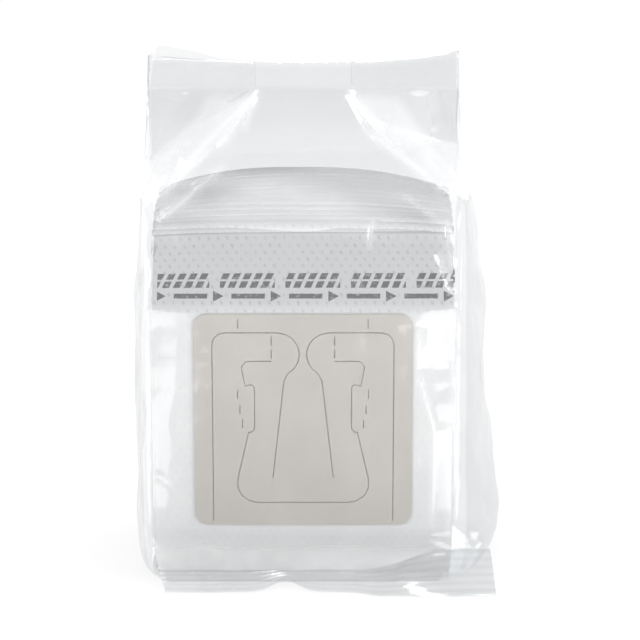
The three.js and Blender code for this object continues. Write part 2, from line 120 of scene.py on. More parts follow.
# Fabric's bonded dots and its print, in millimetres across and up from the fold
DOT_PITCH, DOT_ROW = 2.35, 1.95
DOT_HALF_WIDTH, DOT_HALF_HEIGHT, DOT_LEAN = 0.36, 0.26, 0.5
STROKES_UP, DASHES_UP = CARD_EDGE + 8.3, CARD_EDGE + 4.3
GROUP_START, GROUP_PITCH, GROUP_WIDTH = 36.5, 16.1, 13.5
STROKE_PITCH, STROKE_WIDTH, STROKE_HALF_HEIGHT, STROKE_LEAN = 2.7, 1.72, 1.95, -0.42
WAIST_HALF_HEIGHT = 0.27  # the gap half way up the strokes
DASH_START, DASH_PITCH, DASH_MIDDLE = 36.2, 14.15, 8.6
DASH_HALF_WIDTH, DASH_HALF_HEIGHT = 4.1, 0.58
HEAD_LENGTH, HEAD_SLOPE = 2.6, 0.5
PRINT_LEFT = -35.8

# Colours
WHITE = (1.0, 1.0, 1.0, 1.0)
END_FABRIC = (0.86, 0.86, 0.855, 1.0)
# painted light: the stack's pouches are painted lighter than the end pouches, to lift the shade between
# them
STACK_FABRIC_PAINTED_LIGHTER = (0.96, 0.96, 0.96, 1.0)
# painted shade: the grey painted on the end pouches' free flap above the cards
FLAP_PAINTED_SHADE = (0.585, 0.585, 0.59, 1.0)
DOT_GREY = (0.42, 0.42, 0.43, 1.0)
INK_GREY = (0.085, 0.085, 0.09, 1.0)
BOARD_PALE = (0.605, 0.573, 0.53, 1.0)
BOARD_DARK = (0.565, 0.533, 0.491, 1.0)
BOARD_FIBRE = (0.43, 0.4, 0.36, 1.0)
FILM_CLEAR = (0.985, 0.987, 0.99, 1.0)
FILM_GREY = (0.85, 0.856, 0.862, 1.0)
FILM_GLOSS = (0.97, 0.975, 0.98, 1.0)
# milky white: real milkiness of creased film, and painted highlight and painted light laid on the film
FILM_MILK_AND_PAINTED_LIGHT = (0.92, 0.925, 0.93, 1.0)
FLOOR_PAINT = (0.84, 0.84, 0.84, 1.0)
FLOOR_PAINT_SEEN = (0.22, 0.22, 0.22, 1.0)


# Small tools

def smooth(value, low, high):
    """0 below low, 1 above high, and the cubic 3t^2 - 2t^3 between them."""
    t = np.clip((value - low) / (high - low), 0.0, 1.0)
    return t * t * (3.0 - 2.0 * t)


def lerp(a, b, t):
    """The straight line from a at t = 0 to b at t = 1."""
    return a + (b - a) * t


def along(value, places, values):
    """Straight-line interpolation through the listed places and values."""
    return np.interp(value, places, values)


def steps(count):
    """One row of count even shares from 0 up to 1, without the 1."""
    return np.linspace(0, 1, count, endpoint=False)[None, :]


def rumple(a, b, seed, wave, count=9):
    """A field of count sine waves of about the given wavelength, in random directions, from -1 to 1."""
    rng = np.random.default_rng(seed)
    total = np.zeros(np.broadcast(a, b).shape)
    for _ in range(count):
        angle, phase = rng.uniform(0, 2 * math.pi, 2)
        k = 2 * math.pi / (wave * rng.uniform(0.7, 1.5))
        total += np.sin(k * (a * math.cos(angle) + b * math.sin(angle)) + phase)
    return total / count * 1.6


def facets(a, b, seed, wave, count=5):
    """A field of count triangle waves in random directions: flat fields that meet in sharp folds."""
    rng = np.random.default_rng(seed)
    total = np.zeros(np.broadcast(a, b).shape)
    for _ in range(count):
        angle, phase = rng.uniform(0, 2 * math.pi, 2)
        k = 2 * math.pi / (wave * rng.uniform(0.6, 1.6))
        total += np.arcsin(np.sin(k * (a * math.cos(angle) + b * math.sin(angle)) + phase)) * 2 / math.pi
    return total / count * 1.4


def zigzag(turns):
    """A wave of straight ramps between 1 and -1."""
    return np.arcsin(np.sin(2 * math.pi * turns)) * 2 / math.pi


def crease(a, b, start, end, height, width, taper=0.18):
    """A fold from start to end: height times an exponential of the distance from the line, faded at
    both ends over the share taper of its length."""
    (ax, bx), (ay, by) = (start[0], end[0]), (start[1], end[1])
    length = math.hypot(bx - ax, by - ay)
    ux, uy = (bx - ax) / length, (by - ay) / length
    t = ((a - ax) * ux + (b - ay) * uy) / length
    off = np.abs((b - ay) * ux - (a - ax) * uy)
    ends = np.clip(t / taper, 0, 1) * np.clip((1 - t) / taper, 0, 1)
    return height * np.sqrt(ends) * np.exp(-off / width)


def grid_quads(rows, cols, wrap=False):
    """Quads of a grid of points, row by row. With wrap the last column joins the first."""
    r = np.arange(rows - 1)[:, None]
    c = np.arange(cols if wrap else cols - 1)[None, :]
    n = (c + 1) % cols
    quads = np.stack([r * cols + c, r * cols + n, (r + 1) * cols + n, (r + 1) * cols + c], axis=-1)
    return quads.reshape(-1, 4)


def build_piece(name, parts, materials, stands_for, weld):
    """One mesh object from parts, its doubles merged within weld mm. A part is points (n, 3) in mm,
    faces, a material number, the fabric's own coordinates (n, 2) in mm, and named marks (n,)."""
    points = np.concatenate([part[0].reshape(-1, 3) for part in parts]) * MM
    faces, numbers, start = [], [], 0
    for part in parts:
        faces.extend((np.asarray(f) + start).tolist() for f in part[1])
        numbers.extend([part[2]] * len(part[1]))
        start += part[0].reshape(-1, 3).shape[0]
    mesh = bpy.data.meshes.new(name)
    mesh.from_pydata(points.tolist(), [], faces)
    mesh.update()
    mesh.polygons.foreach_set("material_index", np.array(numbers, dtype=np.int32))
    mesh.polygons.foreach_set("use_smooth", np.ones(len(faces), dtype=bool))

    # one unit of the lay map is 100 mm
    own = np.concatenate([part[3].reshape(-1, 2) for part in parts])
    corner = np.empty(len(mesh.loops), dtype=np.int32)
    mesh.loops.foreach_get("vertex_index", corner)
    layer = mesh.uv_layers.new(name="lay")
    layer.data.foreach_set("uv", (own[corner] * MM * 10).ravel())
    for label in parts[0][4]:
        marks = np.concatenate([part[4][label].reshape(-1) for part in parts])
        mark = mesh.attributes.new(label, "FLOAT", "POINT")
        mark.data.foreach_set("value", marks.astype(np.float32))

    bm = bmesh.new()
    bm.from_mesh(mesh)
    bmesh.ops.remove_doubles(bm, verts=bm.verts, dist=weld * MM)
    bm.to_mesh(mesh)
    bm.free()
    for material in materials:
        mesh.materials.append(material)
    piece = bpy.data.objects.new(name, mesh)
    bpy.context.scene.collection.objects.link(piece)
    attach(piece, "root")
    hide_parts(*stands_for)


# Materials

class Nodes:
    """The node tree of a material or of the world, with short ways to add and join nodes."""

    def __init__(self, owner, output):
        self.owner = owner
        owner.use_nodes = True
        self.tree = owner.node_tree
        self.tree.nodes.clear()
        self.out = self.add(output)

    def add(self, kind, inputs=None, **settings):
        node = self.tree.nodes.new(kind)
        for key, value in settings.items():
            setattr(node, key, value)
        for key, value in (inputs or {}).items():
            self.put(node, key, value)
        return node

    def put(self, node, key, value):
        if isinstance(value, bpy.types.NodeSocket):
            self.tree.links.new(value, node.inputs[key])
        else:
            node.inputs[key].default_value = value

    def math(self, operation, a, b=0.0, clamp=False):
        node = self.add("ShaderNodeMath", {0: a, 1: b}, operation=operation, use_clamp=clamp)
        return node.outputs[0]

    def ramp(self, value, low, high, to_low=0.0, to_high=1.0):
        node = self.add("ShaderNodeMapRange", {"Value": value, "From Min": low, "From Max": high,
                                               "To Min": to_low, "To Max": to_high})
        node.interpolation_type = "SMOOTHSTEP"
        return node.outputs[0]

    def noise(self, vector, scale, detail=3.0, rough=0.55):
        node = self.add("ShaderNodeTexNoise", {"Vector": vector, "Scale": scale, "Detail": detail,
                                               "Roughness": rough})
        return node.outputs["Fac"]

    def drawn_out(self, vector, share):
        """The same coordinates with Z shrunk, so that a pattern on them is drawn out upwards."""
        return self.add("ShaderNodeMapping", {"Vector": vector, "Scale": (1.0, 1.0, share)}).outputs[0]

    def colours(self, fac, first, second):
        node = self.add("ShaderNodeMix", data_type="RGBA")
        self.put(node, 0, fac)
        self.put(node, 6, first)
        self.put(node, 7, second)
        return node.outputs[2]

    def bump(self, height, strength, distance):
        node = self.add("ShaderNodeBump", {"Height": height, "Strength": strength, "Distance": distance})
        return node.outputs[0]

    def seen(self):
        """1 for rays that show a thing, straight, by gloss or through glass, and 0 for those that light."""
        rays = self.add("ShaderNodeLightPath").outputs
        bent = self.math("MAXIMUM", rays["Is Glossy Ray"], rays["Is Transmission Ray"])
        return self.math("MAXIMUM", rays["Is Camera Ray"], bent)

    def surface(self, shader):
        self.tree.links.new(shader, self.out.inputs["Surface"])
        return self.owner


def material_nodes(name):
    """A new material's empty node tree."""
    return Nodes(bpy.data.materials.new(name), "ShaderNodeOutputMaterial")


def bonded_dots(n, x, s):
    """How far a point is from the nearest bonded dot, 1 at its rim. The dots are leaning ellipses, and
    every other row is shifted by half a pitch."""
    row = n.math("DIVIDE", s, DOT_ROW)
    shift = n.math("MULTIPLY", n.math("FLOORED_MODULO", n.math("FLOOR", row), 2.0), 0.5)
    across = n.math("FRACT", n.math("ADD", n.math("DIVIDE", x, DOT_PITCH), shift))
    across = n.math("SUBTRACT", across, 0.5)
    up = n.math("SUBTRACT", n.math("FRACT", row), 0.5)
    slant = n.math("ADD", n.math("MULTIPLY", across, DOT_PITCH), n.math("MULTIPLY", up, DOT_LEAN))
    wide = n.math("POWER", n.math("DIVIDE", slant, DOT_HALF_WIDTH), 2.0)
    high = n.math("POWER", n.math("DIVIDE", up, DOT_HALF_HEIGHT), 2.0)
    return n.math("SQRT", n.math("ADD", wide, high))


def tear_print(n, x, s):
    """1 on the tear-here print: slanted strokes in groups, with a gap half way up, and below them a row
    of dashes, each behind an arrow head."""
    group = n.math("FLOORED_MODULO", n.math("ADD", x, GROUP_START), GROUP_PITCH)
    in_group = n.math("LESS_THAN", group, GROUP_WIDTH)
    rise = n.math("SUBTRACT", s, STROKES_UP)
    in_row = n.math("LESS_THAN", n.math("ABSOLUTE", rise), STROKE_HALF_HEIGHT)
    leaning = n.math("ADD", group, n.math("MULTIPLY", rise, STROKE_LEAN))
    stroke = n.math("LESS_THAN", n.math("FLOORED_MODULO", leaning, STROKE_PITCH), STROKE_WIDTH)
    waist = n.math("GREATER_THAN", n.math("ABSOLUTE", rise), WAIST_HALF_HEIGHT)
    strokes = n.math("MULTIPLY", n.math("MULTIPLY", in_group, in_row), n.math("MULTIPLY", stroke, waist))

    step = n.math("FLOORED_MODULO", n.math("ADD", x, DASH_START), DASH_PITCH)
    drop = n.math("ABSOLUTE", n.math("SUBTRACT", s, DASHES_UP))
    dash = n.math("ABSOLUTE", n.math("SUBTRACT", step, DASH_MIDDLE))
    dash = n.math("LESS_THAN", dash, DASH_HALF_WIDTH)
    dash = n.math("MULTIPLY", dash, n.math("LESS_THAN", drop, DASH_HALF_HEIGHT))
    head = n.math("MULTIPLY", n.math("SUBTRACT", HEAD_LENGTH, step), HEAD_SLOPE)
    head = n.math("LESS_THAN", drop, head)
    ink = n.math("MAXIMUM", strokes, n.math("MAXIMUM", dash, head))
    return n.math("MULTIPLY", ink, n.math("GREATER_THAN", x, PRINT_LEFT))


def fabric_material(name, dotted_with_painted_shade, base):
    """White non-woven: staggered rows of small bonded dots, loose fibres, and the grey tear-here print.
    On the end pouches the dots show more, and the flap above the cards is painted greyer as painted shade."""
    n = material_nodes(name)
    lay = n.add("ShaderNodeUVMap", uv_map="lay").outputs[0]
    split = n.add("ShaderNodeSeparateXYZ", {0: lay})
    x = n.math("MULTIPLY", split.outputs[0], 100.0)
    s = n.math("MULTIPLY", split.outputs[1], 100.0)
    place = n.add("ShaderNodeTexCoord").outputs["Object"]

    dot = n.ramp(bonded_dots(n, x, s), 0.75, 1.2, 1.0, 0.0)
    patch = n.ramp(n.noise(place, 190.0, 2.0), 0.35, 0.62)
    dot = n.math("MULTIPLY", dot, n.ramp(patch, 0.0, 1.0, 0.45, 1.0))
    flap = n.ramp(s, CARD_EDGE - 2.0, CARD_EDGE + 3.5)
    dot = n.math("MULTIPLY", dot, n.ramp(flap, 0.0, 1.0, 0.16, 1.0))
    fibre = n.noise(n.drawn_out(place, 0.45), 2600.0, 4.0, 0.7)
    cloudy = n.noise(place, 110.0, 3.0)
    worn = n.ramp(n.noise(place, 900.0, 3.0), 0.28, 0.5, 0.55, 1.0)
    ink = n.math("MULTIPLY", tear_print(n, x, s), worn)

    darker = tuple(c * 0.955 for c in base[:3]) + (1.0,)
    cloth = n.colours(n.ramp(cloudy, 0.3, 0.7), base, darker)
    # painted shade: the flap above the cards is painted grey
    if dotted_with_painted_shade:
        cloth = n.colours(n.math("MULTIPLY", flap, 0.9), cloth, FLAP_PAINTED_SHADE)
    cloth = n.colours(n.math("MULTIPLY", dot, 0.55 if dotted_with_painted_shade else 0.2), cloth, DOT_GREY)
    cloth = n.colours(n.math("MULTIPLY", ink, 0.9), cloth, INK_GREY)
    relief = n.math("SUBTRACT", n.math("MULTIPLY", fibre, 0.5), n.math("MULTIPLY", dot, 0.9))
    relief = n.math("ADD", relief, n.math("MULTIPLY", cloudy, 0.8))
    normal = n.bump(relief, 0.5, 0.00012)
    skin = n.add("ShaderNodeBsdfPrincipled", {"Base Color": cloth, "Roughness": 0.9, "Normal": normal,
                                              "Specular IOR Level": 0.15, "Sheen Weight": 0.15})
    return n.surface(skin.outputs[0])


def card_material():
    """Uncoated greige paper board, with a faint mottle, short fibres and a soft felt-side grain."""
    n = material_nodes("greige paper board")
    place = n.add("ShaderNodeTexCoord").outputs["Object"]
    mottle = n.noise(place, 60.0, 4.0)
    grain = n.noise(n.drawn_out(place, 0.3), 1500.0, 4.0, 0.7)
    colour = n.colours(n.ramp(mottle, 0.3, 0.7), BOARD_PALE, BOARD_DARK)
    colour = n.colours(n.ramp(grain, 0.55, 0.8, 0.0, 0.25), colour, BOARD_FIBRE)
    normal = n.bump(n.math("ADD", grain, n.math("MULTIPLY", mottle, 0.4)), 0.35, 0.00006)
    rough = n.ramp(grain, 0.3, 0.7, 0.72, 0.88)
    skin = n.add("ShaderNodeBsdfPrincipled", {"Base Color": colour, "Roughness": rough,
                                              "Normal": normal, "Specular IOR Level": 0.3})
    return n.surface(skin.outputs[0])


def film_material():
    """Clear film: what lies behind it shows, slightly greyed, under a thin gloss that grows at a slant.
    The tint attribute marks the plies that grey it most. A second attribute marks where creased film is
    milky, and where milky white is laid on as painted highlight and painted light."""
    n = material_nodes("clear gloss film")
    place = n.add("ShaderNodeTexCoord").outputs["Object"]
    milk_and_painted_light = n.add("ShaderNodeAttribute", attribute_name="milk_and_painted_light").outputs["Fac"]
    tint = n.add("ShaderNodeAttribute", attribute_name="tint").outputs["Fac"]
    smear = n.noise(place, 45.0, 3.0)
    ripple = n.noise(place, 160.0, 2.0)
    grey = n.math("MULTIPLY", tint, n.ramp(smear, 0.25, 0.75, 0.9, 1.1))
    clear = n.add("ShaderNodeBsdfTransparent", {"Color": n.colours(grey, FILM_CLEAR, FILM_GREY)})
    rough = n.ramp(smear, 0.3, 0.7, 0.07, 0.16)
    normal = n.bump(ripple, 0.25, 0.00035)
    facing = n.add("ShaderNodeLayerWeight", {"Blend": 0.25, "Normal": normal}).outputs["Facing"]
    weight = n.ramp(facing, 0.0, 1.0, 0.07, 0.5)
    gloss = n.add("ShaderNodeBsdfPrincipled", {"Base Color": FILM_GLOSS, "Metallic": 1.0,
                                               "Roughness": rough, "Normal": normal})
    shine = n.add("ShaderNodeMixShader", {0: weight, 1: clear.outputs[0], 2: gloss.outputs[0]})
    # milky white laid on the film: partly milky creased film, partly painted highlight and painted light
    milky = n.add("ShaderNodeBsdfPrincipled", {"Base Color": FILM_MILK_AND_PAINTED_LIGHT, "Roughness": 0.45})
    milk_and_painted_light_share = n.math("MULTIPLY", milk_and_painted_light, n.ramp(smear, 0.3, 0.7, 0.65, 0.95), clamp=True)
    mixed = n.add("ShaderNodeMixShader", {0: milk_and_painted_light_share, 1: shine.outputs[0], 2: milky.outputs[0]})
    return n.surface(mixed.outputs[0])


FABRIC_FRONT = fabric_material("dotted white filter fabric", True, END_FABRIC)
FABRIC = fabric_material("white filter fabric", False, STACK_FABRIC_PAINTED_LIGHTER)
BOARD = card_material()
FILM = film_material()


# Drip bags

def slip(depth):
    """How much higher a pouch at that depth stands than the first one: straight from 0 to REAR_LIFT."""
    return REAR_LIFT * (depth / DEPTH + 0.5)


def roof_front(z):
    """The front roof panel: straight from the front shoulder to the ridge."""
    return lerp(-FACE_Y, RIDGE_Y - 0.4, np.clip((z - FRONT_SHOULDER) / (RIDGE - FRONT_SHOULDER), 0, 1))


def roof_rear(z):
    """The rear roof panel: straight from the rear shoulder to the ridge."""
    return lerp(FACE_Y, RIDGE_Y + 0.4, np.clip((z - REAR_SHOULDER) / (RIDGE - REAR_SHOULDER), 0, 1))


def pouch_sheet(depth, lift, x, s, seed):
    """The middle of a pouch at a distance s up from its fold, as (x, y, z).

    y is depth behind the cards, and shrinks in a smooth curve to a smaller share of depth at the fold
    and at the mouth. The foremost flaps stoop. The mouth arches: its corners droop, most at the rear of
    the stack. The free flap above the cards waves a little."""
    mouth = POUCH_TOP + MOST_LIFT
    back = depth / DEPTH + 0.5
    front_lean = (-roof_front(mouth) - 2.4) / (DEPTH / 2)
    rear_lean = (roof_rear(mouth + REAR_LIFT) - 3.4) / (DEPTH / 2)
    lean = lerp(front_lean, rear_lean, back)
    above = np.clip((s - (CARD_EDGE + KNEE)) / (POUCH_H - CARD_EDGE - KNEE), 0, 1)
    below = np.clip((CARD_RISE - KNEE - s) / (CARD_RISE - KNEE), 0, 1)
    y = depth * lerp(1, lean, above ** 1.2) * lerp(1, FOOT_PINCH, below ** 1.3)

    flap = smooth(s, CARD_EDGE + KNEE, POUCH_H)
    own_wave, own_phase, own_arch, own_tilt = np.random.default_rng(seed).uniform(-1, 1, 4)
    wave = 0.34 * np.sin(x / 9.0 + depth / 9) + 0.22 * np.sin(x / 4.6 + depth / 5)
    wave = wave + 0.08 * own_wave * np.sin(x / 6 + 5 * own_phase)
    side = np.abs(x) / (POUCH_W / 2)
    droop = (0.6 + 4.2 * back ** 1.2) * side ** 2.6 * flap ** 1.4
    stoop = 3.4 * (1 - back) ** 2.5 * flap ** 1.5
    crown = 0.9 * back * (1 - side ** 2) * flap
    arch = 0.2 * own_arch * np.cos(x / 21.0) * flap
    tilt = 0.25 * own_tilt * (x / (POUCH_W / 2)) * flap
    fan = 0.6 * np.clip(20 * abs(depth) / DEPTH - 9, 0, 1) * np.sign(depth) * flap
    y = y + 0.8 * wave * flap - 0.18 * droop * (1 - 2 * back) + fan
    z = FOOT + slip(depth) + lift + s - droop - stoop + crown + arch + tilt
    return x, y, z


def rounded_outline(width, height, radius, arc=5):
    """Corner arcs of arc points joined by straight sides, as (n, 2), anticlockwise from the lower right."""
    swing = np.linspace(0, math.pi / 2, arc)
    right, left = width / 2 - radius, -width / 2 + radius
    corners = ((right, radius, -math.pi / 2), (right, height - radius, 0),
               (left, height - radius, math.pi / 2), (left, radius, math.pi))
    arcs = [np.stack([x + radius * np.cos(a + swing), z + radius * np.sin(a + swing)], axis=1)
            for x, z, a in corners]
    return np.concatenate(arcs)


def card_part(x0, y_front, z0):
    """A rounded card: its outline drawn from y_front back by its thickness."""
    outline = rounded_outline(CARD_W, CARD_H, CARD_R)
    n = len(outline)
    rings = [np.stack([outline[:, 0] + x0, np.full(n, y), outline[:, 1] + z0], axis=1)
             for y in (y_front, y_front + CARD_T)]
    i = np.arange(n)
    sides = np.stack([i, (i + 1) % n, (i + 1) % n + n, i + n], axis=1)[:, ::-1]
    faces = [list(range(n)), list(range(2 * n - 1, n - 1, -1))] + sides.tolist()
    return np.concatenate(rings), faces, 1, np.zeros((2 * n, 2)), {}


def pouch_part(depth, lift, x_shift, seed, columns, rows, half, mouth_half):
    """A pouch: its outside runs from the front mouth down, round the fold and up to the rear mouth, and
    each ply turns in over its rim. The plies meet at the side welds, and inside, below the mouth."""
    inside, weld_width = 7.0, 2.0
    s_front = np.concatenate([[POUCH_H - inside, POUCH_H - 0.4], np.linspace(POUCH_H, 0, rows)])
    s_all = np.concatenate([s_front, s_front[::-1]])
    edge = POUCH_W / 2
    middle = np.linspace(-edge + 1.2, edge - 1.2, columns)
    across = np.concatenate([[-edge, -edge + 0.1], middle, [edge - 0.1, edge]])
    s, x = np.meshgrid(s_all, across, indexing="ij")
    mid_x, mid_y, mid_z = pouch_sheet(depth, lift, x, s, seed)
    weld = np.clip((edge - np.abs(x)) / weld_width, 0, 1)
    opening = smooth(s, CARD_EDGE, POUCH_H)
    thick = lerp(half, mouth_half, opening) * np.sqrt(weld) * np.clip(s / 0.3, 0, 1) ** 0.5
    rim = np.zeros(len(s_all))
    rim[[0, 1, -1, -2]] = min(PLY * 0.8, half)
    offset = np.maximum(thick - rim[:, None] * weld, 0.0)
    offset[[0, -1]] = 0.0
    sign = np.where(np.arange(len(s_all)) < len(s_front), -1.0, 1.0)[:, None]
    points = np.stack([mid_x + x_shift, mid_y + sign * offset, mid_z], axis=-1)
    lay = np.stack([x, s], axis=-1)
    faces = grid_quads(len(s_all), len(across))[:, ::-1]
    return points.reshape(-1, 3), faces, 0, lay.reshape(-1, 2), {}


def drip_bags():
    """The 48 bags between the first and the last, each a pouch with a card on either face."""
    for bag in range(2, BAGS):
        depth = -DEPTH / 2 + END_PITCH + (bag - 1.5) * PITCH
        lift = MOST_LIFT * (0.55 + 0.45 * math.sin(bag * 1.7 + 0.6))
        shift = SQUARING * math.sin(bag * 2.4)
        z0 = CARD_FOOT + slip(depth) + lift
        parts = [pouch_part(depth, lift, shift, bag, 26, 24, PLY, 0.22),
                 card_part(shift, depth - PLY - CARD_T, z0),
                 card_part(shift, depth + PLY, z0)]
        label = f"{bag:02d}"
        build_piece(f"drip_bag_sheet_{label}", parts, [FABRIC, BOARD], (f"drip_bag_{label}",),
                    0.004)


def end_pouches():
    """The pouches of the first and the last bag, which show their whole face."""
    for bag, depth in ((1, (-DEPTH + END_PITCH) / 2), (BAGS, (DEPTH - END_PITCH) / 2)):
        part = pouch_part(depth, 0.0, 0.0, bag, 90, 110, END_T / 2, 0.35)
        label = f"{bag:02d}"
        build_piece(f"filter_pouch_{label}", [part], [FABRIC_FRONT], (f"pouch_{label}",), 0.004)


def finish_ear_cards():
    """The die-cut cards keep their solids and take the board's finish."""
    for name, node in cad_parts.items():
        if name.startswith("ear_card"):
            node.data.materials.clear()
            node.data.materials.append(BOARD)


# Film bag

def film_heights():
    """Heights of the film's rows: close together at the foot, the shoulders and the fin."""
    foot = np.linspace(FILM_BASE, 12, 30, endpoint=False)
    body = np.linspace(12, 66, 72, endpoint=False)
    roof = np.linspace(66, RIDGE, 94, endpoint=False)
    return np.concatenate([foot, body, roof, np.linspace(RIDGE, FILM_TOP, 14)])


def foot_curve(z):
    """A quarter circle that falls from 1 at the base to 0 at FOOT_RADIUS."""
    return 1 - np.sqrt(np.clip(1 - (1 - np.clip(z / FOOT_RADIUS, 0, 1)) ** 2, 0, 1))


def gusset_start(z, side, rearward):
    """How far out a gusset starts, from the base to the ridge: its fold runs up lower at the front than
    at the rear, and the slack right one folds in late and steeply there."""
    def share(low):
        return np.clip((z - low) / (RIDGE - low), 0, 1)

    front = 1 - (1 - share(FRONT_FOLD)) ** 1.6
    rear = 1 - (1 - share(RIGHT_REAR_FOLD)) ** 2.6 if side > 0 else share(SIDE_SHOULDER) ** 1.1
    return lerp(FLAT_HALF - FOOT_TUCK_SIDE * foot_curve(z), APEX, lerp(front, rear, rearward))


def gusset_bulge(y, z, t, side):
    """How far a gusset stands out: a belly that is widest near the base, slack film up to the
    shoulder, and dents where two zigzags cross it at a slant."""
    most, belly, depth = PUFFS[side]
    rise = np.sin(math.pi / 2 * np.clip((z + PUFF_HEIGHT) / (2 * PUFF_HEIGHT), 0, 1))
    fall = np.clip((z - PUFF_HEIGHT) / (SIDE_SHOULDER - PUFF_HEIGHT), 0, 1)
    puff = rise * ((1 - belly) * (1 - fall ** 5) + belly * (1 - fall) ** 5)
    fade = np.clip(z / (FOOT_RADIUS + 2), 0, 1)
    fade = fade * (1 - np.clip((z - REAR_SHOULDER) / (SIDE_SHOULDER - REAR_SHOULDER), 0, 1))
    dent = (zigzag((z + 0.9 * y) / 31 + 0.2) + zigzag((z - 1.3 * y) / 43 + 0.55)) / 2 * fade
    return np.clip(4 * t * (1 - t), 0, 1) ** 0.7 * (most * puff + depth * dent)


def film_sections(z):
    """The eight runs of a row in their order round the tube, each as x, y, the tint of its ply and the
    ply's place in the fin. From the front panel's left edge they are: front panel, front wing, right
    end, rear wing, rear panel, rear wing, left end, front wing."""
    front = roof_front(z) + FOOT_TUCK_FRONT * foot_curve(z)
    rear = roof_rear(z) - FOOT_TUCK_REAR * foot_curve(z)
    half = along(z, [0, 4, 9, 14, 78, 92, 104, 130],
                 [34.6, 37.0, 38.2, BODY_HALF, BODY_HALF, 39.7, FLAT_HALF, FLAT_HALF])
    front_ply, rear_ply = front + PLY_STEP, rear - PLY_STEP
    fold = {(side, back): np.minimum(gusset_start(z, side, back), half)
            for side in (1, -1) for back in (0, 1)}

    def end_x(side, t):
        return gusset_start(z, side, t) + gusset_bulge(lerp(front, rear, t), z, t, side)

    tf, tw, te, tr = steps(FRONT_COLS), steps(WING_COLS), steps(END_COLS), steps(REAR_COLS)
    flat = np.ones_like
    return [
        (lerp(-half, half, tf), front * flat(tf), 1.0, -0.30),
        (lerp(half, fold[1, 0], tw), front_ply * flat(tw), 0.0, -0.12),
        (end_x(1, te), lerp(front_ply, rear_ply, te), 1.0, 0.0),
        (lerp(fold[1, 1], half, tw), rear_ply * flat(tw), 0.0, 0.12),
        (lerp(half, -half, tr), rear * flat(tr), 1.0, 0.30),
        (lerp(-half, -fold[-1, 1], tw), rear_ply * flat(tw), 0.0, 0.12),
        (-end_x(-1, 1 - te), lerp(rear_ply, front_ply, te), 0.8, 0.0),
        (lerp(-fold[-1, 0], -half, tw), front_ply * flat(tw), 0.0, -0.12),
    ]


def round_edges(x, y, z):
    """Rounds the upright edges of the body and leaves the folds of the roof sharp: time after time, each
    point goes a share of the way to the middle of its two neighbours in the row."""
    share = 0.5 - 0.46 * smooth(z, FRONT_FOLD - 8, FRONT_FOLD + 4)
    for _ in range(EDGE_ROUNDS):
        for field in (x, y):
            field += share * (0.5 * (np.roll(field, 1, axis=1) + np.roll(field, -1, axis=1)) - field)


def front_panel(x, z):
    """How far the front panel stands out, how milky it is, and the share of its tint that it keeps.

    It is flat over the cards and slopes back past a fold line at either side. Facets and sine waves
    rumple it and CREASES stand up from it. It is milky at them, partly as stress whitening and partly
    as painted highlight; milky near the base and over the stack's top as painted light that lifts the
    shade there; and clearer in a strip along the gussets' folds."""
    body = 1 - smooth(z, 66, 76)
    right_fold = along(z, [0, 14, 40, 55, 66], [34, 32.2, 32.4, 28.4, 28.7])
    left_fold = along(z, [0, 20, 42, 55, 66], [-33, -34, -33.2, -31.5, -31.0])
    turned = np.clip(x - right_fold, 0, None) * 0.21 + np.clip(left_fold - x, 0, None) * 0.16
    out = -turned * body * smooth(z, 6, 14)
    out += (0.12 + 0.2 * smooth(np.abs(x + 1.0), 26, 33)) * facets(x, z * 0.6, 5, 17) * body
    out += 0.1 * rumple(x, z, 6, 9)
    milk_and_painted_light = np.zeros_like(x)
    for start, end, height, width in CREASES:
        line = crease(x, z, start, end, height, width)
        out += line
        # partly stress whitening, partly painted highlight: milky film along each crease
        milk_and_painted_light += 0.5 * line
    out += 0.5 * facets(x, z, 12, 11) * smooth(z, 72, 80) * smooth(np.abs(x), 20, 33)

    # painted light: milky film near the base lifts the shade at the pack's foot
    milk_and_painted_light += 0.6 * smooth(14 - z, 0, 9) + 0.02
    # painted light: milky film over the stack's top lifts the shade between the pouch mouths
    over_stack_painted_light = smooth(z, 84, 90) * (1 - smooth(z, 99, 104))
    milk_and_painted_light += over_stack_painted_light * (0.14 + 0.06 * facets(x * 0.2, z, 61, 6) + 0.06 * rumple(x, z, 62, 30))
    past_fold = np.abs(x) - gusset_start(z, 1, 0)
    strip = smooth(past_fold, -1, 1) * (1 - smooth(past_fold, 10, 14))
    strip = strip * smooth(z, FRONT_FOLD, FRONT_FOLD + 3)
    return out, milk_and_painted_light, 1 - 0.75 * strip * (1 - smooth(z, RIDGE - 4, RIDGE))


def rear_panel(x, z):
    """How far the rear panel stands out: facets and sine waves."""
    return 0.35 * facets(x, z * 0.7, 51, 20) + 0.12 * rumple(x, z, 52, 9)


def gusset_end(x, y, z, seed, size):
    """How far a gusset's rumples stand out, how much of it is folded in, and the painted highlight on
    that folded part as milky white: facets and sine waves that fade to its edges, and streaks that run
    along the fold."""
    t = steps(END_COLS)
    fade = np.clip(4 * t * (1 - t), 0, 1) ** 0.5
    out = (size * facets(y, z, seed, 13) + 0.2 * rumple(y, z, seed, 8)) * fade
    folded = smooth(z, FRONT_FOLD, SIDE_SHOULDER)
    streak = facets(0.4 * x, z + 0.9 * np.abs(x), seed + 5, 7)
    # painted highlight: the folded part is painted milky white, in streaks along the fold
    return out, folded, folded * (0.6 + 0.55 * streak)


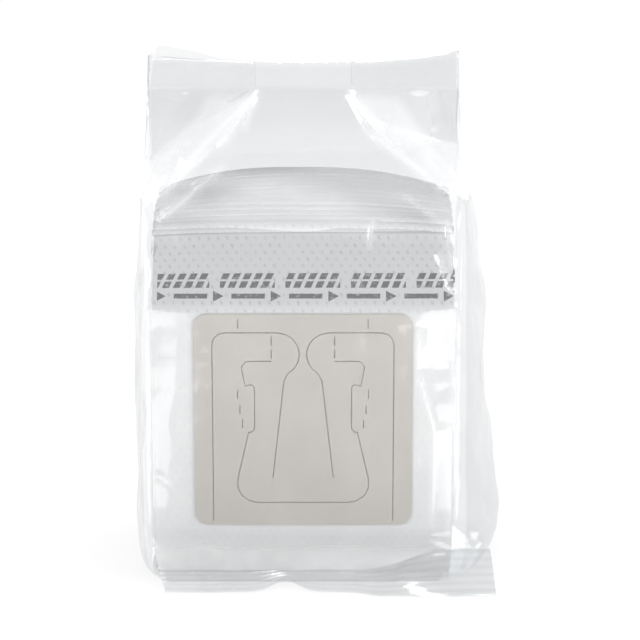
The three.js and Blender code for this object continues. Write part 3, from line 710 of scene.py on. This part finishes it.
def press_fin(x, y, z, ply_at, fin):
    """The top seal: its plies lie pressed together, and meet in the last row. Its corners lift and curl
    back with the square of x, fine lines run along it, and its rear ply is peeled off at the left."""
    meeting = np.ones((len(x), 1))
    meeting[-1] = 0.0
    y = lerp(y, RIDGE_Y + ply_at * meeting, fin)
    up = np.clip((z - RIDGE) / FIN_HEIGHT, 0, 1)
    out = (np.abs(x) / FLAT_HALF) ** 2
    y = y + (up * out * 3.4 + 0.25 * up * np.sin(x / 7.0) + 0.05 * fin * np.sin(z * 2 * math.pi / 1.1))
    z = z + up * out * along(x, [-40, 0, 40], [1.6, 2.0, 2.9])
    peel = up * smooth(-x, 8, 40) * (ply_at > 0.2)
    return x + 2.5 * peel, y + 1.0 * peel, z + 2.3 * peel, up


def film_bag():
    """The film as one closed tube of rows and columns.

    A row runs along the front panel, in along the right wing, across the right end, out along the
    rear wing, and so on round. Below the folds the wings have no width and the ends puff out. Above
    them each end folds in along a curve to its apex at the ridge, and its wings lie flat on the roof
    panels. Creases and rumples then push each point along its panel's normal."""
    z = film_heights()[:, None]
    sections = film_sections(z)
    x = np.concatenate([s[0] for s in sections], axis=1)
    y = np.concatenate([s[1] for s in sections], axis=1)
    widths = [s[0].shape[1] for s in sections]
    tint = np.repeat([[s[2] for s in sections]], widths, axis=1) * np.ones_like(z)
    ply_at = np.repeat([[s[3] for s in sections]], widths, axis=1)
    cols = x.shape[1]
    zz = np.repeat(z, cols, axis=1)
    round_edges(x, y, z)

    fin = smooth(z, RIDGE - 1.5, RIDGE + 1.5)
    calm = 1 - 0.95 * fin
    edges = np.cumsum([0] + widths)
    panels = [slice(a, b) for a, b in zip(edges[:-1], edges[1:])]
    push = np.zeros_like(x)
    milk_and_painted_light = np.zeros_like(x)
    f = panels[0]
    push[:, f], milk_and_painted_light[:, f], kept = front_panel(x[:, f], zz[:, f])
    tint[:, f] *= kept
    for k, seed, size in ((2, 21, 0.35), (6, 31, 0.3)):
        e = panels[k]
        push[:, e], folded, folded_painted_highlight = gusset_end(x[:, e], y[:, e], zz[:, e], seed, size)
        milk_and_painted_light[:, e] = np.clip(folded_painted_highlight * (1 - fin), 0, 1) + 0.02
        tint[:, e] *= 1 - folded
    for k, seed in ((1, 41), (3, 42), (5, 43), (7, 44)):
        w = panels[k]
        push[:, w] = 0.12 * facets(x[:, w], zz[:, w], seed, 8)
        # painted highlight: milky film on the wings where they lie high on the roof
        slack = 0.3 * smooth(x[:, w], 12, 15) * (1 - smooth(x[:, w], 32, 35))
        milk_and_painted_light[:, w] = slack * smooth(zz[:, w], 106, 109) * (1 - fin)
    r = panels[4]
    push[:, r] = rear_panel(x[:, r], zz[:, r])
    push *= calm

    # outward normal of the section, from the tangent round it
    dx = np.roll(x, -1, axis=1) - np.roll(x, 1, axis=1)
    dy = np.roll(y, -1, axis=1) - np.roll(y, 1, axis=1)
    size = np.hypot(dx, dy) + 1e-6
    x = x + push * dy / size
    y = y - push * dx / size
    x, y, zz, up = press_fin(x, y, zz, ply_at, fin)
    milk_and_painted_light += 0.1 * smooth(up, 0.8, 0.9) * (np.abs(ply_at) > 0.2)
    tint = tint * (1 - 0.2 * fin)

    # base: rows that close to a point in the middle of it
    under = []
    for t in (1.0, 0.8, 0.5, 0.25, 0.1, 0.03):
        height = np.full(cols, FILM_BASE + 0.3 * t)
        under.append(np.stack([x[0] * (1 - t), lerp(y[0], BASE_MIDDLE_Y, t), height], axis=-1))
    points = np.concatenate([np.stack(under), np.stack([x, y, zz], axis=-1)])
    ring = np.ones((len(under), cols))
    marks = {"milk_and_painted_light": np.concatenate([0.2 * ring, milk_and_painted_light]), "tint": np.concatenate([0.5 * ring, tint])}
    faces = grid_quads(points.shape[0], cols, wrap=True)
    return points.reshape(-1, 3), faces, 0, np.zeros((points.shape[0] * cols, 2)), marks


def foot_fin():
    """The lower seal: three plies from under the front panel forward to the tip, skewed to the right,
    with a buckle left of the middle. Distance t runs from its root to its tip. The sealing jaw has left
    fine lines along it."""
    across, out, ply_step, jaw_lines = 140, 30, 0.2, 6
    u = np.linspace(0, 1, across)[None, :]
    t = np.linspace(0, 1, out)[:, None]
    x = lerp(lerp(-37.2, 46.6, u), lerp(-34.2, 47.8, u), t ** 0.7)
    buckle = np.exp(-(((x + 4.4) / 4.6) ** 2))
    right = smooth(x, 12, 20)
    hang = smooth(x, 14, 40)
    jaw = np.sin(t * 2 * math.pi * jaw_lines)
    y = lerp(-26.6 - 2.4 * hang, -34.4 - 2.8 * right + 3.8 * buckle, t)
    rise = (3.8 + 5.6 * hang) * (1 - t) ** 1.1 + 0.3 + 1.5 * buckle * t
    marks = {"milk_and_painted_light": np.full(across * out, 0.13), "tint": 0.38 + 0.42 * hang + 0.3 * np.clip(jaw, 0, 1)}
    faces = grid_quads(out, across)[:, ::-1]
    parts = []
    for ply in range(3):
        z = rise + ply_step * ply + 0.1 * np.sin(x / 3.1) * t + 0.06 * jaw * (1 - t)
        points = np.stack([x, y, z], axis=-1).reshape(-1, 3)
        parts.append((points, faces, 0, np.zeros((across * out, 2)), marks))
    return parts


def make_film():
    """The film bag with its lower seal, as one piece."""
    build_piece("clear_film_bag", [film_bag()] + foot_fin(), [FILM], ("film_bag",), 0.001)


# Studio

def add_floor():
    """A plain pale floor. Seen directly it gains a little light of its own, so that it reads as white
    and still keeps the pack's shadow."""
    n = material_nodes("pale floor")
    seen = n.seen()
    matte = n.add("ShaderNodeBsdfDiffuse", {"Color": n.colours(seen, FLOOR_PAINT, FLOOR_PAINT_SEEN)})
    place = n.add("ShaderNodeTexCoord").outputs["Object"]
    far = n.add("ShaderNodeVectorMath", {0: place}, operation="LENGTH").outputs["Value"]
    fill = n.math("MULTIPLY", seen, n.ramp(far, 0.06, 0.6, 0.77, 0.87))
    glow = n.add("ShaderNodeEmission", {"Color": WHITE, "Strength": fill})
    both = n.add("ShaderNodeAddShader", {0: matte.outputs[0], 1: glow.outputs[0]})
    mesh = bpy.data.meshes.new("floor")
    mesh.from_pydata([(-6, -6, 0), (6, -6, 0), (6, 6, 0), (-6, 6, 0)], [], [(0, 1, 2, 3)])
    mesh.materials.append(n.surface(both.outputs[0]))
    floor = bpy.data.objects.new("floor", mesh)
    bpy.context.scene.collection.objects.link(floor)


def add_world():
    """White where it is seen, and dimmer where it lights."""
    n = Nodes(bpy.data.worlds.new("studio"), "ShaderNodeOutputWorld")
    dim = n.add("ShaderNodeBackground", {"Color": WHITE, "Strength": 0.62})
    full = n.add("ShaderNodeBackground", {"Color": WHITE, "Strength": 1.0})
    mix = n.add("ShaderNodeMixShader", {0: n.seen(), 1: dim.outputs[0], 2: full.outputs[0]})
    bpy.context.scene.world = n.surface(mix.outputs[0])


def turn(holder, direction):
    """Turns a lamp or the camera to look in that direction."""
    holder.rotation_euler = Vector(direction).to_track_quat("-Z", "Y").to_euler()


def add_softbox(name, place, aim, width, height, power):
    """A rectangular lamp at place (metres), turned to face aim."""
    lamp = bpy.data.lights.new(name, "AREA")
    lamp.shape = "RECTANGLE"
    lamp.size, lamp.size_y = width, height
    lamp.energy = power
    holder = bpy.data.objects.new(name, lamp)
    holder.location = place
    turn(holder, np.array(aim) - np.array(place))
    bpy.context.scene.collection.objects.link(holder)


def add_camera():
    """The photograph's view: 13.5 degrees above the horizon, 550 mm from the front face."""
    distance, rise = 0.55, math.radians(13.5)
    picture_width, pixels_per_metre, sensor = 640.0, 4080.0, 36.0
    target = np.array([0.0042, -0.026, 0.0679])
    place = target + distance * np.array([0.0, -math.cos(rise), math.sin(rise)])
    camera = bpy.data.cameras.new("camera")
    camera.sensor_width = sensor
    camera.lens = pixels_per_metre * distance / picture_width * sensor
    holder = bpy.data.objects.new("camera", camera)
    holder.location = place
    turn(holder, target - place)
    bpy.context.scene.collection.objects.link(holder)
    bpy.context.scene.camera = holder


add_camera()
drip_bags()
end_pouches()
finish_ear_cards()
make_film()
add_floor()
add_world()
add_softbox("key", (-0.55, -0.6, 0.75), (0, 0, 0.06), 0.5, 0.5, 4.0)
add_softbox("side", (0.6, -0.35, 0.3), (0, 0, 0.06), 0.35, 0.6, 1.9)
add_softbox("top", (0.1, 0.1, 0.9), (0, 0, 0.06), 0.5, 0.4, 3.6)
add_softbox("right reflector", (0.105, -0.18, 0.002), (0.105, -0.18, 1), 0.12, 0.22, 0.19)
add_softbox("left reflector", (-0.1, -0.18, 0.002), (-0.1, -0.18, 1), 0.1, 0.22, 0.13)
add_softbox("rear", (0.0, 0.75, 0.2), (0, 0, 0.1), 0.6, 0.16, 0.6)
bpy.context.scene.view_settings.view_transform = "Standard"
